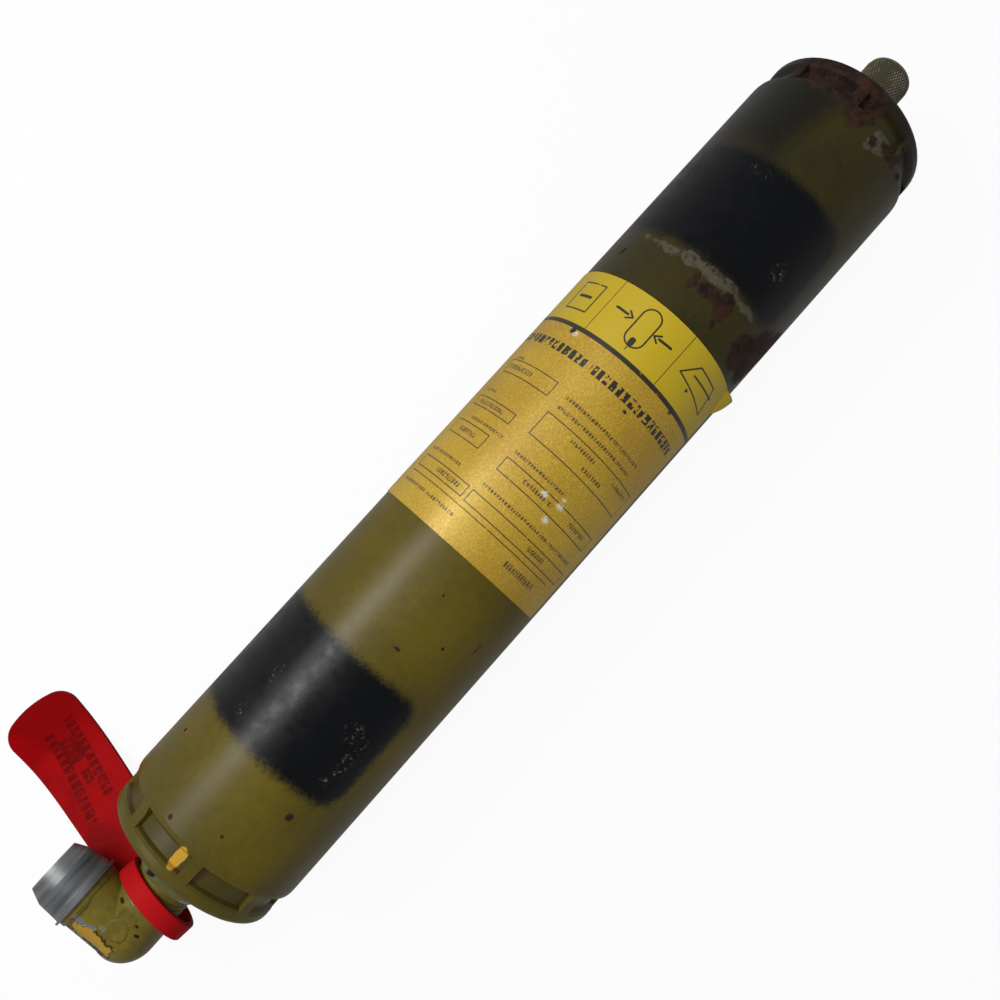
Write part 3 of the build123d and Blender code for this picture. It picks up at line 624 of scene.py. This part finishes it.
def makeLabelFoil():
    look = Finish("label_foil")
    spot = look.place()
    x, y, z = look.split(spot)
    along = x * perMetre
    arc = y.apply("ARCTAN2", z) * tubeRadius
    skin = look.flat(along, arc)
    soft, line = labelLook["softness"], labelLook["line"]

    def noise(name):
        return look.noise(spot, *labelLook["noise"][name])

    def mask(name, value):
        return look.ease(value, *labelLook["masks"][name])

    def over(under, name, amount):
        return look.coat(under, labelLook[name], amount)

    def printed(gap):  # 1 inside the printed shape
        return look.ease(gap, -soft, soft)

    def rowsOf(rows):
        boxes = [(middle - half, middle + half, low, high) for middle, half, low, high in rows]
        return anyOf([within(along, arc, box, arcPerDegree) for box in boxes])

    # foil and its plain yellow end
    fine, broad, speckle = noise("fine"), noise("broad"), noise("speckle")
    foil = over(labelLook["foilShade"], "foil", mask("foil", broad * labelLook["broadShare"] + speckle))
    foil = over(foil, "sparkle", mask("sparkle", speckle))
    onBand = printed(labelLook["bandFrom"] - along)
    foil = over(foil, "band", onBand)

    # rows of uneven marks
    steps = arc / labelLook["fineStep"]
    steps = steps + (along / labelLook["fineRow"]).apply("FLOOR") * labelLook["fineShift"]
    marks = mask("fineGaps", look.gaps(steps)) & mask("fineBreaks", noise("fineBreaks"))
    faint = printed(rowsOf(fineRows)) & marks
    blocks = mask("broadGaps", look.gaps(arc / labelLook["broadStep"]))
    blocks = blocks & mask("broadBreaks", noise("broadBreaks"))

    # frames, rules and outlines
    frames = anyOf([line - abs(within(along, arc, box, arcPerDegree)) for box in labelFrames])
    rules = anyOf([within(along, arc, box, arcPerDegree) for box in labelRules])
    strokes = anyOf([width - strokeGap(look, skin, start, end) for start, end, width in bandStrokes])
    turn = capsule["turn"]
    rim = strokeGap(look, skin, (capsule["from"], turn), (capsule["to"], turn)) - capsule["radius"]
    strokes = strokes | (capsule["line"] - abs(rim))
    strong = (printed(rowsOf(broadRows)) & blocks) | printed(frames | rules | strokes)

    # ink, then the damage over it
    kept = ~mask("worn", noise("worn"))
    colour = over(foil, "faintInk", faint * kept)
    colour = over(colour, "ink", strong * kept)
    ragged = swing(fine, labelLook["ragged"])
    shifted = along + ragged, arc + ragged
    scuffs = ovals(look, *shifted, labelScuffs, labelLook["scuffRim"], arcPerDegree)
    colour = over(colour, "white", scuffs * mask("scuffs", fine))
    nicks = ovals(look, *shifted, labelNicks, labelLook["nickRim"], arcPerDegree)
    colour = over(colour, "nick", nicks)
    sockets = {
        "Base Color": colour,
        "Metallic": ~(faint | strong | nicks | scuffs | onBand) * labelLook["metallic"],
        "Roughness": labelLook["roughness"] + swing(fine, labelLook["roughnessSwing"]),
        "Specular IOR Level": labelLook["gloss"],
    }
    relief = fine * labelLook["foilDepth"] + broad * labelLook["waveDepth"] - nicks * labelLook["nickDepth"]
    return look.surface(sockets, relief)


labelCorner = {  # the lifted corner at the gas end of the label
    "hinge": ((-57.9, 59.5), (-49.5, 66.4)),  # mm along the tube, degrees round it
    "tip": (-57.6, 70.2),
    "tipRadius": 32.4,
    "radius": 30.24,
    "thickness": 0.12,
    "bulge": 0.45,
    "taper": 0.95,  # how much narrower it is at its tip
    "steps": 12,
}


def onTube(along, turn, radius):
    return Vector((along, radius * math.sin(turn * degree), radius * math.cos(turn * degree))) * mm


def makeLabelCorner(material):
    corner, steps = labelCorner, labelCorner["steps"]
    (startAlong, startTurn), (endAlong, endTurn) = corner["hinge"]
    middle = onTube((startAlong + endAlong) / 2, (startTurn + endTurn) / 2, corner["radius"])
    tip = onTube(*corner["tip"], corner["tipRadius"])
    build = bmesh.new()

    def cornerPoint(away, across, side):  # away from the hinge 0 to 1, across it 0 to 1
        share = 0.5 + (across - 0.5) * (1 - corner["taper"] * away)
        turn = startTurn + (endTurn - startTurn) * share
        base = onTube(startAlong + (endAlong - startAlong) * share, turn, corner["radius"])
        outward = Vector((0.0, math.sin(turn * degree), math.cos(turn * degree)))
        lift = corner["bulge"] * math.sin(math.pi * away) + side * corner["thickness"]
        return base.lerp(tip + (base - middle), away) + outward * lift * mm

    upper, lower = [
        [[build.verts.new(cornerPoint(i / steps, j / steps, side)) for j in range(steps + 1)]
         for i in range(steps + 1)]
        for side in (0.5, -0.5)]
    for rows in (upper, lower):
        for i in range(steps):
            for j in range(steps):
                build.faces.new((rows[i][j], rows[i][j + 1], rows[i + 1][j + 1], rows[i + 1][j]))
    rim = [(0, j) for j in range(steps)] + [(i, steps) for i in range(steps)]
    rim += [(steps, j) for j in range(steps, 0, -1)] + [(i, 0) for i in range(steps, 0, -1)]
    for (i, j), (k, m) in zip(rim, rim[1:] + rim[:1]):
        build.faces.new((upper[i][j], upper[k][m], lower[k][m], lower[i][j]))
    addPiece("label_corner", build, material, "accumulator", smooth=True)


labelFoil = makeLabelFoil()
paint("data_label", labelFoil)
makeLabelCorner(labelFoil)
print("label printed")

# knurl of the valve cap

knurl = {
    "from": -178.4,  # mm along the axis
    "to": -162.2,
    "fade": 0.5,  # mm over which the diamonds rise from the skin's ends
    "root": 7.87,  # radius between the diamonds, mm
    "depth": 0.24,
    "inner": 7.6,  # radius of the skin's inside, within the cap's own metal
    "diamonds": 52,
    "pitch": 0.95,  # mm along the cap for one diamond
    "steepness": 1.5,  # over 1 leaves flat crests
    "steps": (136, 416),  # along and around
    "crest": tone(176, 172, 148),
    "dull": tone(118, 112, 84),
    "side": tone(92, 86, 62),
    "grime": tone(46, 42, 28),
    "fine": (700.0, 3.0, 0.6),  # scale, detail, roughness of a noise
    "rubbed": (130.0, 3.0, 0.6),
    "fineShare": 0.3,
    "fineSwing": 0.1,  # mm
    "rubbedMask": (0.6, 0.8),
    "high": (0.108, 0.228),  # mm above the root
    "low": (0.0, 0.096),
    "metallic": 0.35,
    "highMetallic": 0.4,
    "roughness": 0.52,
    "highRoughness": -0.12,
}


def turnedSkin(name, skin, radiusAt, material, body, smooth):  # a closed skin round the X axis
    steps, around = skin["steps"]
    build = bmesh.new()
    rows = []
    for i in range(-1, steps + 2):
        along = skin["from"] + (skin["to"] - skin["from"]) * min(max(i, 0), steps) / steps
        covered = 0 <= i <= steps
        row = []
        for j in range(around):
            turn = wholeTurn * j / around
            radius = radiusAt(along, turn) if covered else skin["inner"]
            row.append(build.verts.new(Vector((along, radius * math.sin(turn), radius * math.cos(turn))) * mm))
        rows.append(row)
    for row, following in zip(rows, rows[1:] + rows[:1]):
        for j in range(around):
            k = (j + 1) % around
            build.faces.new((row[j], row[k], following[k], following[j]))
    addPiece(name, build, material, body, smooth)


def wave(value):  # 0 to 1 and back to 0 once for each whole number
    return 1 - abs(2 * (value % 1) - 1)


def fading(skin, along):  # 0 at the skin's ends, 1 past its fade
    return min(along - skin["from"], skin["to"] - along, skin["fade"]) / skin["fade"]


def knurlRadius(along, turn):
    turned, reach = turn * knurl["diamonds"] / wholeTurn, along / knurl["pitch"]
    diamond = min(wave(turned + reach / 2), wave(turned - reach / 2))
    return knurl["root"] + knurl["depth"] * fading(knurl, along) * min(1.0, knurl["steepness"] * diamond)


def makeKnurlFinish():
    look = Finish("knurl_metal")
    spot = look.place()
    y, z = look.split(spot)[1:]
    out = hypot(y, z) * perMetre - knurl["root"]
    fine = look.noise(spot, *knurl["fine"])
    high = look.ease(out + swing(fine, knurl["fineSwing"]), *knurl["high"])
    low = look.ease(out, *knurl["low"])
    rubbed = look.noise(spot, *knurl["rubbed"]) + fine * knurl["fineShare"]
    crest = look.coat(knurl["dull"], knurl["crest"], look.ease(rubbed, *knurl["rubbedMask"]))
    return look.surface({
        "Base Color": look.coat(knurl["grime"], look.coat(knurl["side"], crest, high), low),
        "Metallic": high * knurl["highMetallic"] + knurl["metallic"],
        "Roughness": knurl["roughness"] + high * knurl["highRoughness"],
    })


knurlFinish = makeKnurlFinish()
turnedSkin("valve_cap_knurl", knurl, knurlRadius, knurlFinish, "valve_cap", smooth=False)
print("valve cap knurled")

# elbow, its bare thread and locknut

fitting = {
    "olive": tone(122, 106, 36),
    "shade": tone(94, 82, 30),
    # painted light: the locknut's olive is lightened to stand in for light falling on it
    "nut": tone(112, 110, 62),
    "nutShade": tone(82, 80, 44),
    "primer": tone(176, 138, 46),
    "steel": tone(158, 158, 150),
    "edge": tone(26, 23, 16),
    "dirt": tone(34, 30, 18),
    "roughness": 0.38,
    "darkRoughness": 0.2,  # what a dark chip adds
    "steelMetallic": 0.7,
    "patchyNoise": (90.0, 3.0),  # scale, detail, roughness
    "raggedNoise": (330.0, 5.0, 0.65),
    "top": (1.5, 3.0),  # mm of height over which wear starts to show
    "steelEdge": (2.4, 0.14),  # mm of raggedness, softness of the rim
    "darkEdge": (1.0, 0.2),
    "mottleDepth": 0.014,  # mm
    "grainDepth": 0.012,
    "goneDepth": 0.08,  # where paint is gone
    "darkDepth": 0.1,
    "ridgeDepth": 0.8,  # thread
    "padHeight": 0.3,
    "pad": (181.3, -1.9, 3.2, 3.2),  # plain round pad on top: mm along, across, half sizes
    "padRim": 0.078125,  # softness, as a share of the pad's size
    "outletAxis": 182.9,  # mm along
    "outletThread": ((-21.8, -21.6), (-15.9, -15.7)),  # mm across, where it starts and where it ends
    "stemThreadEnds": (154.0, 154.4),  # mm along
    "flake": {  # primer laid bare on the elbow's outer bend, in mm
        "middle": -6.0,
        "curve": 0.12,  # how far it draws back towards its sides
        "raggedAlong": 4.5,
        "raggedAcross": 7.0,
        "raggedEdge": 2.2,
        "upper": (-2.0, 0.0),  # height
        "primer": ((185.5, 185.7), (7.0, 7.3)),  # where it starts along, where it stops to a side
        "rim": ((184.85, 185.05), (7.6, 7.9)),
        "rimShare": 0.8,
        "edge": (188.6, 189.1),  # where it darkens along
        "edgeBreaks": (0.36, 0.46),
    },
}
# places on top of the fitting: mm along, mm across, half length, half width
steelChips = [(185.4, -12.0, 0.9, 2.4), (185.0, -8.2, 0.7, 1.8), (183.4, -5.4, 0.6, 1.2)]
nutSteel = [(164.4, 4.2, 1.3, 1.5), (163.2, 6.8, 1.2, 1.6), (161.9, 9.6, 0.9, 1.6)]
nutDark = [(161.7, -5.8, 0.9, 1.3), (161.0, -4.6, 0.4, 1.5), (162.3, -6.6, 1.1, 0.4), (158.6, 1.0, 0.4, 0.7)]
elbowDark = [(174.5, -6.6, 0.6, 0.9), (178.6, 3.4, 0.5, 0.9), (176.2, 1.5, 0.35, 0.6)]
thread = {
    "from": 163.95,  # mm along the axis
    "to": 171.55,
    "fade": 0.4,
    "root": 9.04,  # radius between the ridges, mm
    "depth": 0.38,
    "inner": 8.8,
    "pitch": 1.587,
    "steps": (96, 192),  # along and around
}


def threadRadius(along, turn):
    ridge = wave(along / thread["pitch"] - turn / wholeTurn)
    return thread["root"] + thread["depth"] * fading(thread, along) * ridge


def makeFittingPaint(name, olive, shade, steelPlaces, darkPlaces, isElbow):
    look = Finish(name)
    spot = look.place()
    x, y, z = look.split(spot)
    along, across, height = x * perMetre, y * perMetre, z * perMetre
    mottle = look.noise(spot, *shellPaint["noise"]["mottle"])
    grain = look.noise(spot, *shellPaint["noise"]["grain"])
    ragged = look.noise(spot, *fitting["raggedNoise"])
    top = look.ease(height, *fitting["top"])

    def over(under, name, amount):
        return look.coat(under, fitting[name], amount)

    def wornOn(places, edge):
        raggedness, rim = edge
        shift = swing(ragged, raggedness)
        return ovals(look, along + shift, across + shift, places, rim) & top

    def ridges(reach, angle):
        return (reach / thread["pitch"] + angle).apply("PINGPONG", 0.5)

    patchy = look.noise(spot, *fitting["patchyNoise"]) + mottle * shellPaint["mottleShare"]
    colour = look.coat(shade, olive, look.ease(patchy, *shellPaint["masks"]["patchy"]))
    colour = over(colour, "dirt", look.ease(grain, *shellPaint["masks"]["dirt"]))
    steel = wornOn(steelPlaces, fitting["steelEdge"])
    dark = wornOn(darkPlaces, fitting["darkEdge"])
    gone = steel
    if isElbow:
        flake = fitting["flake"]
        aside = abs(across - flake["middle"])
        reach = along + swing(ragged, flake["raggedAlong"]) - aside * flake["curve"]
        side = aside + swing(ragged, flake["raggedAcross"])
        upper = look.ease(height, *flake["upper"])
        primed, rim = [
            look.ease(reach, *start) & ~look.ease(side, *stop) & upper
            for start, stop in (flake["primer"], flake["rim"])]
        edged = look.ease(along + swing(ragged, flake["raggedEdge"]), *flake["edge"]) & rim
        colour = over(colour, "edge", rim * flake["rimShare"])
        colour = over(colour, "primer", primed)
        colour = over(colour, "edge", edged & look.ease(mottle, *flake["edgeBreaks"]))
        gone = primed | steel
    colour = over(colour, "steel", steel)
    colour = over(colour, "edge", dark)

    outletStart, outletEnd = fitting["outletThread"]
    outletAngle = z.apply("ARCTAN2", x - fitting["outletAxis"] * mm) / wholeTurn
    outlet = ridges(across, outletAngle) * look.ease(across, *outletStart) * ~look.ease(across, *outletEnd)
    stemAngle = y.apply("ARCTAN2", z) / -wholeTurn
    stem = ridges(along, stemAngle) * ~look.ease(along, *fitting["stemThreadEnds"])
    relief = mottle * fitting["mottleDepth"] + grain * fitting["grainDepth"] - gone * fitting["goneDepth"]
    relief = relief - dark * fitting["darkDepth"] + (outlet + stem) * fitting["ridgeDepth"]
    if isElbow:
        pad = ovals(look, along, across, [fitting["pad"]], fitting["padRim"]) & top
        relief = relief + pad * fitting["padHeight"]
    roughness = fitting["roughness"] + swing(mottle, shellPaint["roughnessSwing"])
    return look.surface({
        "Base Color": colour,
        "Metallic": steel * fitting["steelMetallic"],
        "Roughness": roughness + dark * fitting["darkRoughness"],
        "Specular IOR Level": shellPaint["gloss"],
    }, relief)


elbowPaint = makeFittingPaint("elbow_paint", fitting["olive"], fitting["shade"], steelChips, elbowDark, True)
# the locknut gets the lightened olive, which is painted light
nutPaint = makeFittingPaint("locknut_paint", fitting["nut"], fitting["nutShade"], nutSteel, nutDark, False)
paint("elbow_body", elbowPaint)
paint("elbow_locknut", nutPaint)
turnedSkin("elbow_stem_thread", thread, threadRadius, elbowPaint, "accumulator", smooth=True)
print("fitting painted")

# identification tag

tag = {
    # painted light and shade: the tag is one red plastic, coloured lighter on the ring and darker along the
    # strap
    "ring": tone(188, 22, 26),
    "strap": tone(164, 4, 8),
    "strapShade": tone(140, 3, 6),
    "faded": tone(96, 4, 7),
    "gloss": 0.04,
    "roughness": 0.5,
    "roughnessSwing": 0.2,
    "grainDepth": 0.02,  # mm
    "strapStarts": (12.0, 17.0),  # mm below the axis, where the ring and its painted light end and the strap's painted shade begins
    "run": (0.249, 0.968, 0.0),  # unit vector along the strap
    "across": (0.968, -0.249, 0.0),
    "step": 2.5,  # mm from one faded mark to the next
    "fine": (500.0, 3.0, 0.6),  # scale, detail, roughness of a noise
    "broad": (60.0, 3.0),
    "broadMask": (0.4, 0.6),
    "gaps": (0.08, 0.16),
    "breaks": (0.3, 0.5),
    "rowEdge": 0.15,  # softness, mm
    "blockEdge": 0.2,
    "fadedShare": 0.8,
}
# faded blocks on the strap: from, to in mm along it, from, to in mm across it
tagRows = [(-16.5, 11.0, 166.9, 170.2), (-15.4, 16.0, 174.9, 178.2)]
tagBlocks = [(-11.2, -2.6, 169.4, 175.6), (0.5, 5.0, 170.6, 173.6)]


def makeTagPlastic():
    look = Finish("tag_plastic")
    spot = look.place()
    along = look.vectors("DOT_PRODUCT", spot, tag["run"], out=1) * perMetre
    across = look.vectors("DOT_PRODUCT", spot, tag["across"], out=1) * perMetre
    fine = look.noise(spot, *tag["fine"])
    strap = look.ease(look.split(spot)[2] * -perMetre, *tag["strapStarts"])
    patchy = look.ease(look.noise(spot, *tag["broad"]), *tag["broadMask"])
    # painted light on the ring, painted shade on the strap
    colour = look.coat(tag["ring"], look.coat(tag["strapShade"], tag["strap"], patchy), strap)

    def printed(boxes, edge):
        return look.ease(anyOf([within(along, across, box) for box in boxes]), -edge, edge)

    rows = printed(tagRows, tag["rowEdge"]) & look.ease(look.gaps(along / tag["step"]), *tag["gaps"])
    blocks = printed(tagBlocks, tag["blockEdge"])
    faded = (rows | blocks) & strap & look.ease(fine, *tag["breaks"])
    return look.surface({
        "Base Color": look.coat(colour, tag["faded"], faded * tag["fadedShare"]),
        "Roughness": tag["roughness"] + swing(fine, tag["roughnessSwing"]),
        "Specular IOR Level": tag["gloss"],
    }, fine * tag["grainDepth"])


paint("identification_tag", makeTagPlastic())
print("tag printed")

# plain finishes for the other pieces

plainFinishes = {
    "end_cap_paint": {
        "colour": tone(92, 84, 34), "shade": tone(52, 48, 26), "roughness": 0.5, "metallic": 0.0,
        "pieces": ["gas_end_cap", "oil_end_cap"]},
    "seal_rubber": {
        "colour": tone(30, 30, 31), "shade": tone(20, 20, 21), "roughness": 0.65, "metallic": 0.0,
        "pieces": ["gas_cap_o_ring", "oil_cap_o_ring", "piston_seal", "gas_valve_o_ring", "valve_cap_gasket",
                   "port_o_ring"]},
    "backup_plastic": {
        "colour": tone(226, 224, 214), "shade": tone(202, 198, 184), "roughness": 0.4, "metallic": 0.0,
        "pieces": ["gas_cap_backup_ring", "oil_cap_backup_ring", "piston_backup_rings"]},
    "bearing_plastic": {
        "colour": tone(84, 58, 40), "shade": tone(58, 40, 30), "roughness": 0.5, "metallic": 0.0,
        "pieces": ["piston_bearing_rings"]},
    "piston_metal": {
        "colour": tone(206, 207, 208), "shade": tone(178, 180, 182), "roughness": 0.32, "metallic": 1.0,
        "scale": 500.0, "depth": 0.004, "stretch": (1.0, 0.05, 0.05),
        "pieces": ["piston"]},
    "valve_steel": {
        "colour": tone(172, 172, 168), "shade": tone(132, 130, 122), "roughness": 0.34, "metallic": 1.0,
        "pieces": ["gas_valve_body", "valve_core_pin", "valve_core_spring", "elbow_backup_washer"]},
    "core_brass": {
        "colour": tone(206, 172, 96), "shade": tone(170, 134, 66), "roughness": 0.3, "metallic": 1.0,
        "pieces": ["valve_core_body"]},
    "knurled_metal": {
        "colour": tone(128, 124, 94), "shade": tone(88, 84, 58), "roughness": 0.5, "metallic": 0.45,
        "pieces": ["gas_valve_cap"]},
    "dust_cap_metal": {
        "colour": tone(150, 152, 152), "shade": tone(50, 52, 56), "roughness": 0.46, "metallic": 0.6,
        "scale": 900.0, "depth": 0.03, "stretch": (0.05, 1.0, 0.05),
        "pieces": ["outlet_dust_cap"]},
}
plainGrain = {  # what they share
    "scale": 300.0,
    "depth": 0.01,  # mm
    "stretch": (1.0, 1.0, 1.0),
    "broadScale": 0.2,  # share of the fine grain's scale
    "broadDetail": 3.0,
    "fineDetail": 4.0,
    "fineRoughness": 0.6,
    "fineShare": 0.6,
    "patchy": (0.45, 1.0),
    "roughnessSwing": 0.2,
}


def makePlain(name, finish):
    grain = {**plainGrain, **finish}
    look = Finish(name)
    spot = look.stretched(look.place(), grain["stretch"])
    broad = look.noise(spot, grain["scale"] * grain["broadScale"], grain["broadDetail"])
    fine = look.noise(spot, grain["scale"], grain["fineDetail"], grain["fineRoughness"])
    patchy = look.ease(broad + fine * grain["fineShare"], *grain["patchy"])
    return look.surface({
        "Base Color": look.coat(grain["shade"], grain["colour"], patchy),
        "Roughness": grain["roughness"] + swing(fine, grain["roughnessSwing"]),
        "Metallic": grain["metallic"],
    }, fine * grain["depth"])


for name, finish in plainFinishes.items():
    material = makePlain(name, finish)
    for nodeName in finish["pieces"]:
        paint(nodeName, material)
print("other pieces finished")
